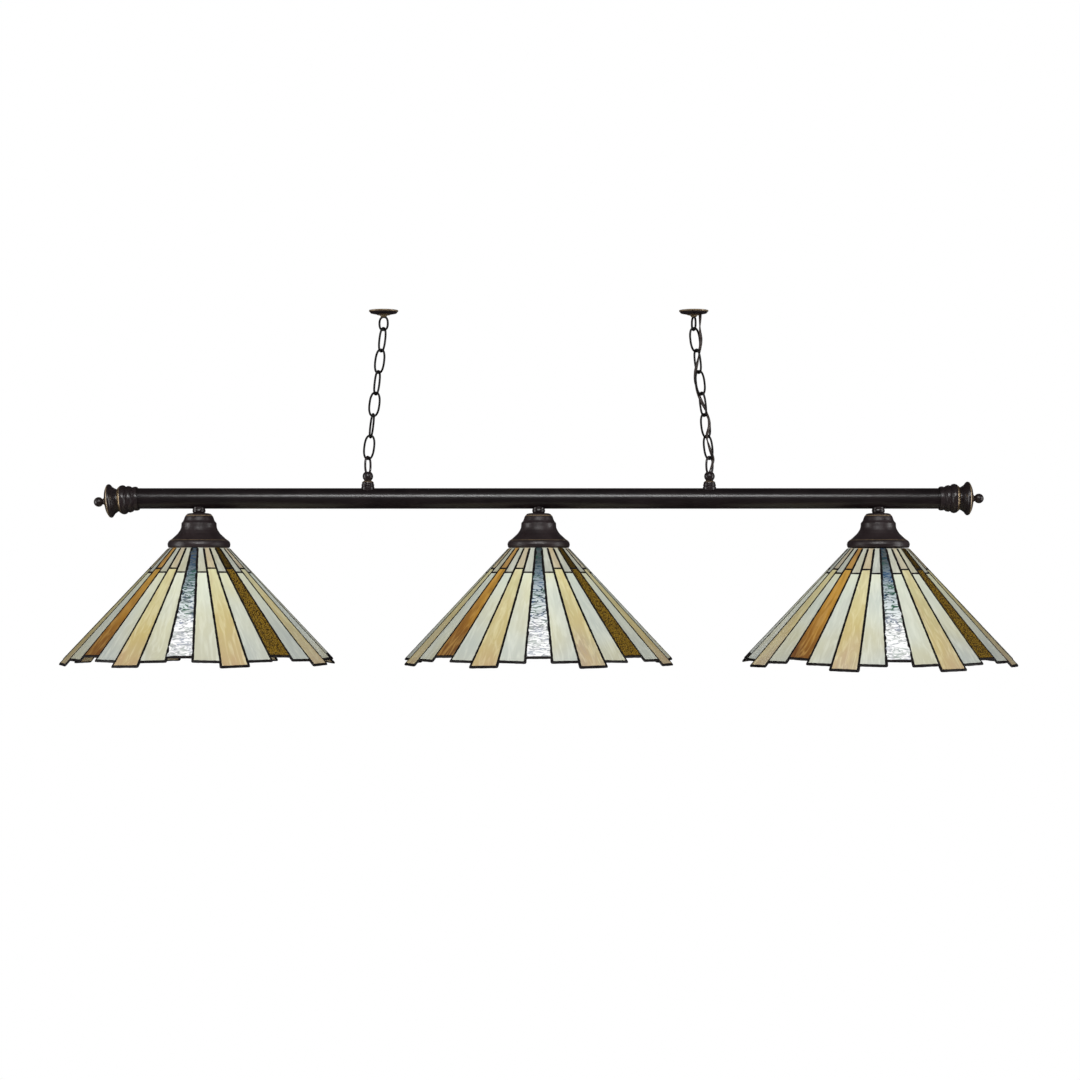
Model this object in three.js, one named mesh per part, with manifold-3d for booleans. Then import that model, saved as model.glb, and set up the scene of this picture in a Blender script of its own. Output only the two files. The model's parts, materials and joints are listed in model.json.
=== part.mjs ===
// Pool table lamp: three leaded-glass shades hang from a bronze tube, which hangs from the ceiling on two chains.
// Units are millimetres. +X runs along the tube, +Z is up, and a person facing the lamp looks along +Y.
// The origin lies on the ceiling, midway between the two ceiling plates.

import * as THREE from "three";
import { mergeVertices } from "three/addons/utils/BufferGeometryUtils.js";
import Module from "manifold-3d";

const wasm = await Module();
wasm.setup();

// ---------------------------------------------------------------- driving dimensions

const GAP = 0.3; // left between pieces that touch

// Tube and lights
const BAR_AXIS_Z = -283; // the tube's axis, below the ceiling
const BAR_RADIUS = 15.5;
const BAR_WALL = 1.5;
const BAR_SHOWN = 1204; // length seen between the end collars
const TUBE_IN_COLLAR = 14; // how far the tube runs into each end collar
const COLLAR_BORE = 17; // loose round the tube, so that a collar can sit out of line
const LIGHT_SPACING = 511;
const LIGHTS = { left: -LIGHT_SPACING, middle: 0, right: LIGHT_SPACING };

// Chains: each runs from an eye under its ceiling plate to a loop on the tube, leaning inwards as it rises
const CHAIN_FOOT_X = 257;
const CHAIN_HEAD_X = 233.3;
const CHAIN_HEAD_Z = -28;
const CHAIN_FOOT_Z = BAR_AXIS_Z + 60.8;
const LINKS = 6;
const WIRE_RADIUS = 1.45;
const LINK_HALF_WIDTH = 7.65; // to the middle of the wire
const OVAL_POWER = 2.4; // of the superellipse that a link follows
const WIRE_GAP = 0.4; // between the wires of two links where they bear on each other

// How far each piece of a chain is turned about the chain, in degrees, from the loop on the tube up to the eye
const TURNS = {
  left: { loop: 66, links: [-8, 78, -5, 66, -24, 59], eye: -31 },
  right: { loop: 52, links: [-39, 28, -61, 28, -60, 18], eye: -72 },
};

// Stem threads and the holes for them
const STEM_RADIUS = 4.85;
const STEM_HOLE = 5.2;
const CORD_RADIUS = 1.8;
const WIRE_WAY = 3; // radius of the way for the wires through a stem
const NUT_RADIUS = 8;

// Shade: a cone of flat panels whose lower edge steps with each panel's kind
const PANELS = 32;
const SHADE_TOP = { z: -74.6, radius: 45.7 }; // z is below the tube's axis
const SHADE_SPREAD = 0.938; // growth of the radius for each millimetre down
const GLASS_ACROSS = 4.1; // level thickness of the sloping wall, 3 mm square to the glass
const PANEL_BOTTOMS = { accent: -234.7, white: -241.1, amber: -248.2 };
const PANEL_ORDER = ["accent", "white", "amber", "white"]; // repeats round the shade from the front

// Degrees that each end cap hangs out of line with the tube
const CAP_DROOPS = { left: 5, right: 0 };

const rad = THREE.MathUtils.degToRad;

// ---------------------------------------------------------------- materials

const material = (color, roughness, metalness) =>
  new THREE.MeshStandardMaterial({ color, roughness, metalness });
const bronze = material(0x2b2523, 0.42, 0.75);
const rawSteel = material(0x9a9a98, 0.4, 0.9);
const shellBrass = material(0xb38b4a, 0.35, 0.95);
const phenolic = material(0x1a1716, 0.6, 0);
const artGlass = material(0xd8cfae, 0.2, 0);
const bulbWhite = material(0xf2efe6, 0.35, 0);
const cordBrown = material(0x2c221e, 0.6, 0);

// ---------------------------------------------------------------- shape helpers

function meshOf(positions, index) {
  const geometry = new THREE.BufferGeometry();
  geometry.setAttribute(
    "position",
    new THREE.Float32BufferAttribute(positions, 3),
  );
  return geometry.setIndex(index);
}

// A turned piece about +Z from its [radius, z] outline, which starts and ends on the axis or closes on itself.
function turned(outline, segments = 12) {
  const area = outline.reduce((sum, [r, z], i) => {
    const [nextR, nextZ] = outline[(i + 1) % outline.length];
    return sum + r * nextZ - nextR * z;
  }, 0);
  const ordered = area > 0 ? outline : [...outline].reverse();
  const points = ordered.map(([r, z]) => new THREE.Vector2(r, z));
  return new THREE.LatheGeometry(points, segments).rotateX(Math.PI / 2);
}

// A ring about +Z: its outline closes on itself.
const turnedRing = (outline, segments) =>
  turned([...outline, outline[0]], segments);

const washer = (inner, outer, bottom, top, segments) =>
  turnedRing(
    [
      [inner, bottom],
      [outer, bottom],
      [outer, top],
      [inner, top],
    ],
    segments,
  );

const rod = (radius, bottom, top, segments = 8) =>
  turned(
    [
      [0, bottom],
      [radius, bottom],
      [radius, top],
      [0, top],
    ],
    segments,
  );

// A point of the oval that links, loops and eyes follow, at angle t from its side.
function ovalPoint(halfWidth, halfHeight, t) {
  const rounded = (v) => Math.sign(v) * Math.abs(v) ** (2 / OVAL_POWER);
  return new THREE.Vector3(
    halfWidth * rounded(Math.cos(t)),
    0,
    halfHeight * rounded(Math.sin(t)),
  );
}

// Round wire bent into a closed oval that stands in the XZ plane about the origin.
function wireOval(halfWidth, halfHeight, wireRadius, steps = 16, sides = 6) {
  const positions = [];
  const index = [];
  const at = (i) =>
    ovalPoint(halfWidth, halfHeight, (2 * Math.PI * i) / steps);
  for (let i = 0; i < steps; i++) {
    const along = at(i + 1)
      .sub(at(i - 1))
      .normalize();
    const outwards = new THREE.Vector3(along.z, 0, -along.x);
    for (let j = 0; j < sides; j++) {
      const turn = (2 * Math.PI * j) / sides;
      const point = at(i).addScaledVector(
        outwards,
        wireRadius * Math.cos(turn),
      );
      positions.push(point.x, wireRadius * Math.sin(turn), point.z);
      const next = ((i + 1) % steps) * sides;
      const here = i * sides;
      const beside = (j + 1) % sides;
      index.push(here + j, here + beside, next + beside);
      index.push(here + j, next + beside, next + j);
    }
  }
  return meshOf(positions, index);
}

function solidOf(geometry) {
  const bare = geometry.clone();
  bare.deleteAttribute("normal");
  bare.deleteAttribute("uv");
  const merged = mergeVertices(bare, 1e-4);
  return new wasm.Manifold(
    new wasm.Mesh({
      numProp: 3,
      vertProperties: new Float32Array(merged.attributes.position.array),
      triVerts: new Uint32Array(merged.index.array),
    }),
  );
}

function geometryOf(solid) {
  const mesh = solid.getMesh();
  const geometry = new THREE.BufferGeometry();
  geometry.setAttribute(
    "position",
    new THREE.BufferAttribute(new Float32Array(mesh.vertProperties), 3),
  );
  return geometry.setIndex(
    new THREE.BufferAttribute(new Uint32Array(mesh.triVerts), 1),
  );
}

const joined = (...pieces) =>
  geometryOf(pieces.map(solidOf).reduce((whole, piece) => whole.add(piece)));

const cutFrom = (body, ...cutters) =>
  geometryOf(
    cutters
      .map(solidOf)
      .reduce((left, cutter) => left.subtract(cutter), solidOf(body)),
  );

// ---------------------------------------------------------------- scene graph

const lamp = new THREE.Group();
const bar = new THREE.Group(); // everything placed from the tube's axis
bar.position.z = BAR_AXIS_Z;
lamp.add(bar);

function add(parent, name, geometry, finish) {
  const mesh = new THREE.Mesh(geometry, finish);
  mesh.name = name;
  parent.add(mesh);
  return mesh;
}

function subgroup(parent, x = 0, z = 0) {
  const group = new THREE.Group();
  group.position.set(x, 0, z);
  parent.add(group);
  return group;
}

// A hexagon nut round a stem.
const nut = (radius, bottom, top) =>
  cutFrom(
    rod(radius, bottom, top, 6),
    rod(STEM_HOLE, bottom - 1, top + 1, 12),
  );

// The space that the tube takes, so that pieces seated on it can be hollowed to fit.
const tubeSeat = (length) =>
  rod(BAR_RADIUS + GAP, -length / 2, length / 2, 24).rotateY(Math.PI / 2);

// ---------------------------------------------------------------- tube and its wiring

function barTube() {
  const half = BAR_SHOWN / 2 + TUBE_IN_COLLAR;
  const tube = washer(BAR_RADIUS - BAR_WALL, BAR_RADIUS, -half, half, 24);
  const holes = [
    ...Object.values(LIGHTS).map((x) =>
      rod(STEM_HOLE, -BAR_RADIUS - 2, -9, 12).translate(x, 0, 0),
    ),
    ...[-CHAIN_FOOT_X, CHAIN_FOOT_X].map((x) =>
      rod(STEM_HOLE, 9, BAR_RADIUS + 2, 12).translate(x, 0, 0),
    ),
  ];
  return cutFrom(tube.rotateY(Math.PI / 2), ...holes);
}

function barWiring() {
  const reach = LIGHT_SPACING + 3;
  const run = rod(2.5, -reach, reach, 8).rotateY(Math.PI / 2);
  const drops = Object.values(LIGHTS).map((x) =>
    rod(1.6, -77, 0, 8).translate(x, 0, 0),
  );
  return joined(run, ...drops);
}

add(bar, "bar_tube", barTube(), bronze);
add(bar, "bar_wiring", barWiring(), cordBrown);

// ---------------------------------------------------------------- end caps

// Outlines run outwards from where the tube disappears into its collar.
const collarOutline = [
  [COLLAR_BORE, 0.3],
  [17.4, 0.5],
  [18, 2.6],
  [18, 5.8],
  [17.5, 7.8],
  [19.2, 10.6],
  [19.9, 13],
  [19.8, 15.2],
  [19.2, 17],
  [21.3, 20],
  [21.9, 22],
  [21.7, 24.2],
  [20.4, 27],
  [17.8, 30],
  [3, 30],
  [3, 25],
  [COLLAR_BORE, 25],
];
const cupOutline = [
  [3, 30.3],
  [16.8, 30.3],
  [17.2, 32],
  [18.8, 35.2],
  [20.8, 38],
  [23.4, 39.9],
  [25.1, 42],
  [25.2, 43.6],
  [24.3, 45.4],
  [22.4, 46.8],
  [18.4, 48.8],
  [10.5, 50.8],
  [6.2, 51.6],
  [3, 51.6],
];
const ballOutline = [
  [0, 27],
  [2.5, 27],
  [2.5, 51.9],
  [5.2, 51.9],
  [4.1, 53.2],
  [4.8, 54.6],
  [6.6, 56.8],
  [7.3, 60.3],
  [6.4, 63.9],
  [3.6, 66.6],
  [0, 67.6],
];

for (const [side, direction] of [
  ["left", -1],
  ["right", 1],
]) {
  const end = subgroup(bar, (direction * BAR_SHOWN) / 2);
  end.rotation.y = direction * (Math.PI / 2 + rad(CAP_DROOPS[side]));
  add(end, "end_collar_" + side, turnedRing(collarOutline, 16), bronze);
  add(end, "end_cup_" + side, turnedRing(cupOutline, 16), bronze);
  add(end, "end_ball_" + side, turned(ballOutline, 10), bronze);
}

// ---------------------------------------------------------------- lights

function neck() {
  const body = turnedRing([
    [STEM_HOLE, -23.5],
    [9, -23.5],
    [9.5, -22],
    [8.3, -20.2],
    [9.7, -18.4],
    [9.7, -12],
    [STEM_HOLE, -12],
  ]);
  return cutFrom(body, tubeSeat(40));
}

// Spun bell: outside from the top hole down to the rolled lip, then back up the inside.
const bellOutline = [
  [STEM_HOLE, -23.8],
  [18.6, -23.8],
  [19.7, -25],
  [21.9, -30.1],
  [23.2, -33.6],
  [25.6, -37.6],
  [26.1, -42.6],
  [28.6, -48.2],
  [32.7, -54.2],
  [36, -57.8],
  [42.9, -63.2],
  [46.2, -66.8],
  [46.6, -69.6],
  [45.9, -72.6],
  [45, -74.2],
  [44, -74.2],
  [43.6, -67.6],
  [34, -58.6],
  [26.6, -47.6],
  [24.4, -43],
  [24, -38.4],
  [18.2, -25.4],
  [STEM_HOLE, -25.4],
];
const shadeCapOutline = [
  [STEM_HOLE + 0.2, -62.1],
  [12, -62.1],
  [35, -71.6],
  [39, -73.4],
  [39, -74.3],
  [42.2, -74.3],
  [42.2, -72.2],
  [36, -69.8],
  [12, -60.6],
  [STEM_HOLE + 0.2, -60.6],
];
const socketOutline = [
  [0, -88],
  [14.8, -88],
  [14.8, -117],
  [17, -117],
  [17, -73],
  [12, -67.2],
  [STEM_HOLE, -67.2],
  [STEM_HOLE, -78],
  [0, -78],
];
const screwShellOutline = [
  [0, -88.3],
  [14.4, -88.3],
  [14.4, -115],
  [13.3, -115],
  [13.3, -89.5],
  [0, -89.5],
];
const bulbOutline = [
  [0, -90.2],
  [6, -90.6],
  [12.9, -94],
  [12.9, -116],
  [14, -120],
  [19, -134],
  [27, -148],
  [30, -163],
  [28.4, -178],
  [20, -191],
  [9, -197.6],
  [0, -199],
];

const shadeRadius = (z) =>
  SHADE_TOP.radius + SHADE_SPREAD * (SHADE_TOP.z - z);

// The shade's wall: each flat panel runs from the top edge down to its own lower edge.
function shadeGlass() {
  const positions = [];
  const index = [];
  const known = new Map();
  const corner = (edge, z, inset) => {
    const key = [edge % PANELS, z, inset].join();
    if (!known.has(key)) {
      known.set(key, known.size);
      const angle = (2 * Math.PI * (edge - 0.5)) / PANELS - Math.PI / 2;
      const radius = shadeRadius(z) - inset;
      positions.push(radius * Math.cos(angle), radius * Math.sin(angle), z);
    }
    return known.get(key);
  };
  const face = (corners, flip = false) => {
    const outline = [...new Set(corners)];
    if (flip) outline.splice(1, Infinity, ...outline.slice(1).reverse());
    for (let i = 1; i < outline.length - 1; i++)
      index.push(outline[0], outline[i], outline[i + 1]);
  };
  const bottomOf = (number) =>
    PANEL_BOTTOMS[PANEL_ORDER[(number + PANELS) % PANEL_ORDER.length]];
  for (let n = 0; n < PANELS; n++) {
    const top = SHADE_TOP.z;
    const bottom = bottomOf(n);
    const before = Math.max(bottom, bottomOf(n - 1));
    const after = Math.max(bottom, bottomOf(n + 1));
    for (const inset of [0, GLASS_ACROSS]) {
      const wall = [
        corner(n, before, inset),
        corner(n, bottom, inset),
        corner(n + 1, bottom, inset),
        corner(n + 1, after, inset),
        corner(n + 1, top, inset),
        corner(n, top, inset),
      ];
      face(wall, inset > 0);
    }
    for (const z of [top, bottom]) {
      const edge = [
        corner(n, z, 0),
        corner(n + 1, z, 0),
        corner(n + 1, z, GLASS_ACROSS),
        corner(n, z, GLASS_ACROSS),
      ];
      face(edge, z === bottom);
    }
    const neighbour = bottomOf(n - 1);
    const high = Math.max(bottom, neighbour);
    const low = Math.min(bottom, neighbour);
    const step = [
      corner(n, low, GLASS_ACROSS),
      corner(n, low, 0),
      corner(n, high, 0),
      corner(n, high, GLASS_ACROSS),
    ];
    face(step, neighbour < bottom);
  }
  return meshOf(positions, index);
}

for (const [place, x] of Object.entries(LIGHTS)) {
  const light = subgroup(bar, x);
  add(light, "stem_nut_" + place, nut(NUT_RADIUS, -11, -7), rawSteel);
  add(light, "stem_" + place, washer(WIRE_WAY, STEM_RADIUS, -76, -4, 12), rawSteel);
  add(light, "neck_" + place, neck(), bronze);
  add(light, "bell_" + place, turnedRing(bellOutline, 16), bronze);
  add(light, "shade_cap_" + place, turnedRing(shadeCapOutline), bronze);
  add(light, "shade_glass_" + place, shadeGlass(), artGlass);
  add(light, "cap_nut_" + place, nut(NUT_RADIUS + 2, -66.6, -62.6), rawSteel);
  add(light, "socket_" + place, turned(socketOutline), phenolic);
  add(light, "screw_shell_" + place, turned(screwShellOutline), shellBrass);
  add(light, "bulb_" + place, turned(bulbOutline), bulbWhite);
}

// ---------------------------------------------------------------- loops on the tube

function hangLoop(turn) {
  const ballAndBase = turned([
    [0, 12],
    [9.6, 12],
    [9.6, 20.8],
    [8.8, 22],
    [8.8, 24.4],
    [5.6, 27],
    [7.6, 30.4],
    [8, 33.4],
    [7.6, 36.4],
    [5.2, 39.6],
    [0, 39.6],
  ]);
  const seated = cutFrom(ballAndBase, tubeSeat(40));
  const stem = rod(STEM_RADIUS, 4, 20, 12);
  const wire = WIRE_RADIUS + 0.2;
  const top = CHAIN_FOOT_Z - BAR_AXIS_Z + WIRE_GAP / 2 + wire;
  const bottom = 37;
  const oval = wireOval(8.5, (top - bottom) / 2, wire);
  oval.rotateZ(rad(turn)).translate(0, 0, (top + bottom) / 2);
  return cutFrom(joined(seated, stem, oval), rod(2.7, 0, 45));
}

// ---------------------------------------------------------------- chains

function ceilingPlate(side) {
  const disc = turned(
    [
      [0, 0],
      [22, 0],
      [22, -2],
      [19, -4.6],
      [9, -7],
      [0, -7],
    ],
    16,
  );
  const holes = [
    rod(3.3, -8, -2.2),
    rod(2.1, -8, 1, 8).translate(0, 15, 0),
    rod(2.1, -8, 1, 8).translate(0, -15, 0),
  ];
  if (side === "right") holes.push(rod(2.8, -8, 1).translate(9.5, -2.5, 0));
  return cutFrom(disc, ...holes);
}

function ceilingEye() {
  const top = -10;
  const wire = WIRE_RADIUS + 0.1;
  const bottom = CHAIN_HEAD_Z - WIRE_GAP / 2 - wire;
  const oval = wireOval(LINK_HALF_WIDTH, (top - bottom) / 2, wire);
  oval.translate(0, 0, (top + bottom) / 2);
  const shank = turned([
    [0, -2.6],
    [3, -2.6],
    [3, -7.4],
    [5, -7.4],
    [5, -9],
    [2.6, -11],
    [0, -11],
  ]);
  return joined(oval, shank);
}

const chainRise = CHAIN_HEAD_Z - CHAIN_FOOT_Z;
const chainRun = CHAIN_FOOT_X - CHAIN_HEAD_X;
const linkPitch = Math.hypot(chainRise, chainRun) / LINKS;
const chainLean = Math.atan2(chainRun, chainRise);
const linkHalfHeight = linkPitch / 2 + WIRE_RADIUS + WIRE_GAP / 2;

for (const [side, direction] of [
  ["left", -1],
  ["right", 1],
]) {
  const turns = TURNS[side];
  const foot = subgroup(bar, direction * CHAIN_FOOT_X);
  add(foot, "loop_nut_" + side, nut(NUT_RADIUS, 7, 11), rawSteel);
  add(foot, "hang_loop_" + side, hangLoop(turns.loop), bronze);
  const chain = subgroup(lamp, direction * CHAIN_FOOT_X, CHAIN_FOOT_Z);
  chain.rotation.y = -direction * chainLean;
  turns.links.forEach((turn, i) => {
    const oval = wireOval(LINK_HALF_WIDTH, linkHalfHeight, WIRE_RADIUS);
    const name = "chain_link_" + side + "_" + (i + 1);
    const link = add(chain, name, oval, bronze);
    link.position.z = linkPitch * (i + 0.5);
    link.rotation.z = rad(turn);
  });
  const head = subgroup(lamp, direction * CHAIN_HEAD_X);
  add(head, "ceiling_plate_" + side, ceilingPlate(side), bronze);
  const eye = add(head, "ceiling_eye_" + side, ceilingEye(), bronze);
  eye.rotation.z = rad(turns.eye);
}

// ---------------------------------------------------------------- supply cord

// The cord's route down the right chain: height, then how far it lies from the chain's middle in X and in Y.
const cordRoute = [
  [-1, 9.5, -2.5],
  [-12, 9.5, -2.5],
  [-28, 9.2, -2],
  [-44, 8.8, -1.4],
  [-60.3, 5, -1.8],
  [-76.5, 0, 0],
  [-92.7, -5.2, 1.6],
  [-109, -7.6, 0.6],
  [-125.1, -5.2, 1.6],
  [-141.3, 0, 0],
  [-157.5, 5.2, -1.6],
  [-173.7, 5.5, -2.2],
  [-189.9, -0.5, -4.3],
  [-206, 1.8, 0],
  [-222.2, 5.2, 0.9],
  [-231, 4.4, 0.6],
  [-239, 1.4, 0.1],
  [-246, 0, 0],
  [-262, 0, 0],
  [-280, 0, 0],
];

function supplyCord() {
  const points = cordRoute.map(([z, dx, dy]) => {
    const rise = THREE.MathUtils.clamp(z - CHAIN_FOOT_Z, 0, chainRise);
    const middle = CHAIN_FOOT_X - (chainRun * rise) / chainRise;
    return new THREE.Vector3(middle + dx, dy, z);
  });
  const section = new THREE.Shape();
  section.absarc(0, 0, CORD_RADIUS, 0, 2 * Math.PI);
  return new THREE.ExtrudeGeometry(section, {
    extrudePath: new THREE.CatmullRomCurve3(points),
    steps: 46,
    curveSegments: 4,
  });
}

add(lamp, "supply_cord", supplyCord(), cordBrown);

export default lamp;
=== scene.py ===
"""Pool table lamp: three leaded-glass shades under a bronze tube that hangs from two chains."""

import json
import math
import random

import bpy
import numpy as np
from mathutils import Matrix, Vector, noise

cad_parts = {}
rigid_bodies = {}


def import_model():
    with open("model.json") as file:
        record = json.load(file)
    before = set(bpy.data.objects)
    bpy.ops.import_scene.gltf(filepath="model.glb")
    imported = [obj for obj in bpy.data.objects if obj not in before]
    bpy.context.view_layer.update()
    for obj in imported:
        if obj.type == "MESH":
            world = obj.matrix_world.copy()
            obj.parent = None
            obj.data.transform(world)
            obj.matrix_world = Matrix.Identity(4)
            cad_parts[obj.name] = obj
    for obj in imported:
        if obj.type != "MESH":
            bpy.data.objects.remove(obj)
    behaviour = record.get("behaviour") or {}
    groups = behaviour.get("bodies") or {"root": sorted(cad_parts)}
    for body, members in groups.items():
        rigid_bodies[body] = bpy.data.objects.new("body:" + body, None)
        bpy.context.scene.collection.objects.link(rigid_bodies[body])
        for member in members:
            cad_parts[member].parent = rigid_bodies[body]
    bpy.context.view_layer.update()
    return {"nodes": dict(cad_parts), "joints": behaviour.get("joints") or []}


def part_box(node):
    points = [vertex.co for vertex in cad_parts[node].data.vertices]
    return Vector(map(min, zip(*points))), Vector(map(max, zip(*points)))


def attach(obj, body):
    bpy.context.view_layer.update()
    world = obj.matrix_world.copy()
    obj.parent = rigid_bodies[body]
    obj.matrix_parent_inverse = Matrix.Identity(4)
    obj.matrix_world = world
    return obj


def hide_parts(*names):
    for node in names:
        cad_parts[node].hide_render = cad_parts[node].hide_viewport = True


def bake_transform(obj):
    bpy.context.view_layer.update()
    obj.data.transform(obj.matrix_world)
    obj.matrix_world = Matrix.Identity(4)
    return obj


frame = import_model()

MM = 0.001
UP = Vector((0, 0, 1))
SIDES = {"left": -1, "right": 1}
PLACES = ("left", "middle", "right")


def middle(node):
    low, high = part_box(node)
    return (low + high) / 2


def vertices_of(node):
    return np.array([v.co for v in frame["nodes"][node].data.vertices])


JOINT_AT = {joint["name"]: Vector(joint["pos_m"]) for joint in frame["joints"]}
BAR_LOW, BAR_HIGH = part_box("bar_tube")
BAR_Z = middle("bar_tube").z
BAR_RADIUS = (BAR_HIGH.z - BAR_LOW.z) / 2
TUBE_IN_COLLAR = 14 * MM
LINKS = 6

# ---------------------------------------------------------------- camera, stage and light


def make_camera():
    """Level and square on to the lamp, a little below its tube, with the view shifted up."""
    aside, away, height, width_seen, shift = 0.002, 3.6, -0.4087, 1.625, 0.0389
    data = bpy.data.cameras.new("camera")
    data.lens = data.sensor_width * away / width_seen
    data.shift_y = shift
    camera = bpy.data.objects.new("camera", data)
    camera.location = (aside, -away, height)
    camera.rotation_euler = (math.radians(90), 0, 0)
    bpy.context.scene.collection.objects.link(camera)
    bpy.context.scene.camera = camera


def soft_light(name, place, size, power, glossy=True):
    """A rectangle of light that faces the middle of the lamp. One that isn't glossy leaves no highlights."""
    data = bpy.data.lights.new(name, "AREA")
    data.shape = "RECTANGLE"
    data.size, data.size_y = size
    data.energy = power
    light = bpy.data.objects.new(name, data)
    light.location = place
    light.rotation_euler = (Vector((0, 0, BAR_Z)) - Vector(place)).to_track_quat("-Z", "Y").to_euler()
    light.visible_glossy = glossy
    bpy.context.scene.collection.objects.link(light)


def shadeless(name, colour):
    """An even colour that camera and glass see, whatever light falls on it."""
    material = finish(name, "#000000", Roughness=1.0, Specular_IOR_Level=0, Emission_Strength=1.0)
    material.node_tree.nodes["Principled BSDF"].inputs["Emission Color"].default_value = tint(colour)
    return material


def make_stage():
    """A pale floor where a room's floor would be, inside a plain white dome. Both are only seen, straight or
    through glass, and light nothing."""
    floor_z, floor_radius, dome_radius = -2.4, 3.2, 16
    bpy.ops.mesh.primitive_circle_add(
        vertices=96, radius=floor_radius, fill_type="NGON", location=(0, 0, floor_z)
    )
    floor = bpy.context.object
    bpy.ops.mesh.primitive_uv_sphere_add(segments=48, ring_count=24, radius=dome_radius)
    dome = bpy.context.object
    for stage, name, colour in ((floor, "pale_floor", "#efeeeb"), (dome, "white_dome", "#ffffff")):
        stage.name = name
        stage.data.materials.append(shadeless(name, colour))
        stage.visible_diffuse = False
        stage.visible_glossy = False
        stage.visible_shadow = False


def make_light():
    soft_light("key", (0, -2.9, 1.35), (2.6, 0.5), 70)
    soft_light("front_fill", (0, -2.9, 1.35), (2.6, 0.5), 97, glossy=False)
    soft_light("top", (0, -0.6, 2.2), (2.4, 1.2), 12, glossy=False)
    soft_light("low_fill", (0, -2.2, -2.2), (2.4, 1.2), 40, glossy=False)
    soft_light("back", (0, 2.8, 0.6), (2.2, 1.2), 46, glossy=False)
    for name, side in SIDES.items():
        soft_light("side_" + name, (side * 2.3, -1.7, 0.25), (1.6, 1.4), 20, glossy=False)
        soft_light("glint_" + name, (side * 2.4, -0.6, -0.25), (0.5, 2.2), 26)
    world = bpy.data.worlds.new("studio")
    world.use_nodes = True
    world.node_tree.nodes["Background"].inputs["Color"].default_value = (0.04, 0.038, 0.04, 1)
    bpy.context.scene.world = world
    bpy.context.scene.view_settings.view_transform = "Standard"


def share_out_light():
    """The glossy lights fall on everything but the panes, which would mirror them in views from the side
    and the back. The front fill stands in for the key light on the panes, and falls on nothing else."""
    glass = bpy.data.collections.new("lit_softly")
    others = bpy.data.collections.new("lit_with_gloss")
    for thing in bpy.context.scene.objects:
        if thing.type == "MESH":
            (glass if "panes" in thing.name else others).objects.link(thing)
    receivers = {"key": others, "glint_left": others, "glint_right": others, "front_fill": glass}
    for name, lit in receivers.items():
        bpy.data.objects[name].light_linking.receiver_collection = lit


# ---------------------------------------------------------------- materials


def tint(code):
    """A linear colour from an sRGB code such as #8a7f70."""
    parts = [int(code[i : i + 2], 16) / 255 for i in (1, 3, 5)]
    return (*(p / 12.92 if p <= 0.04045 else ((p + 0.055) / 1.055) ** 2.4 for p in parts), 1)


def finish(name, colour, **sockets):
    """A material with one Principled shader. A socket's name has _ for each space."""
    material = bpy.data.materials.new(name)
    material.use_nodes = True
    shader = material.node_tree.nodes["Principled BSDF"]
    shader.inputs["Base Color"].default_value = tint(colour)
    for socket, value in sockets.items():
        shader.inputs[socket.replace("_", " ")].default_value = value
    return material


class Recipe:
    """Adds nodes to a material. A value given for a node's input is a number, a vector or the output of
    another node."""

    def __init__(self, material):
        self.tree = material.node_tree
        self.shader = self.tree.nodes["Principled BSDF"]

    def node(self, kind, inputs, **settings):
        made = self.tree.nodes.new("ShaderNode" + kind)
        for key, value in settings.items():
            setattr(made, key, value)
        for key, value in inputs.items():
            if isinstance(value, bpy.types.NodeSocket):
                self.tree.links.new(value, made.inputs[key])
            else:
                made.inputs[key].default_value = value
        return made

    def feed(self, socket, value):
        self.tree.links.new(value, self.shader.inputs[socket])

    def attribute(self, name, output="Fac"):
        return self.node("Attribute", {}, attribute_name=name).outputs[output]

    def place(self):
        return self.node("TexCoord", {}).outputs["Object"]

    def scaled(self, vector, scale):
        return self.node("Mapping", {"Vector": vector, "Scale": scale}).outputs["Vector"]

    def cloud(self, vector, scale, detail, distortion=0.0):
        inputs = {"Vector": vector, "Scale": scale, "Detail": detail, "Distortion": distortion}
        return self.node("TexNoise", inputs).outputs["Fac"]

    def stretched_cloud(self, vector, scale, detail, distortion=0.0):
        """A cloud with a scale of its own along each axis."""
        return self.cloud(self.scaled(vector, scale), 1.0, detail, distortion)

    def ramp(self, value, *stops):
        """A number or colour that follows value through stops of (place, number or sRGB code)."""
        made = self.node("ValToRGB", {"Fac": value})
        ramp = made.color_ramp
        while len(ramp.elements) < len(stops):
            ramp.elements.new(0.5)
        for element, (place, shade) in zip(ramp.elements, stops):
            element.position = place
            element.color = tint(shade) if isinstance(shade, str) else (shade, shade, shade, 1)
        return made.outputs["Color"]

    def maths(self, operation, a, b):
        return self.node("Math", {0: a, 1: b}, operation=operation).outputs[0]

    def mix(self, share, a, b, blend="MIX"):
        """Colour b over colour a by share."""
        return self.node("Mix", {0: share, 6: a, 7: b}, data_type="RGBA", blend_type=blend).outputs[2]

    def bump(self, height, distance, strength):
        inputs = {"Height": height, "Distance": distance, "Strength": strength}
        self.feed("Normal", self.node("Bump", inputs).outputs["Normal"])


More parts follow.
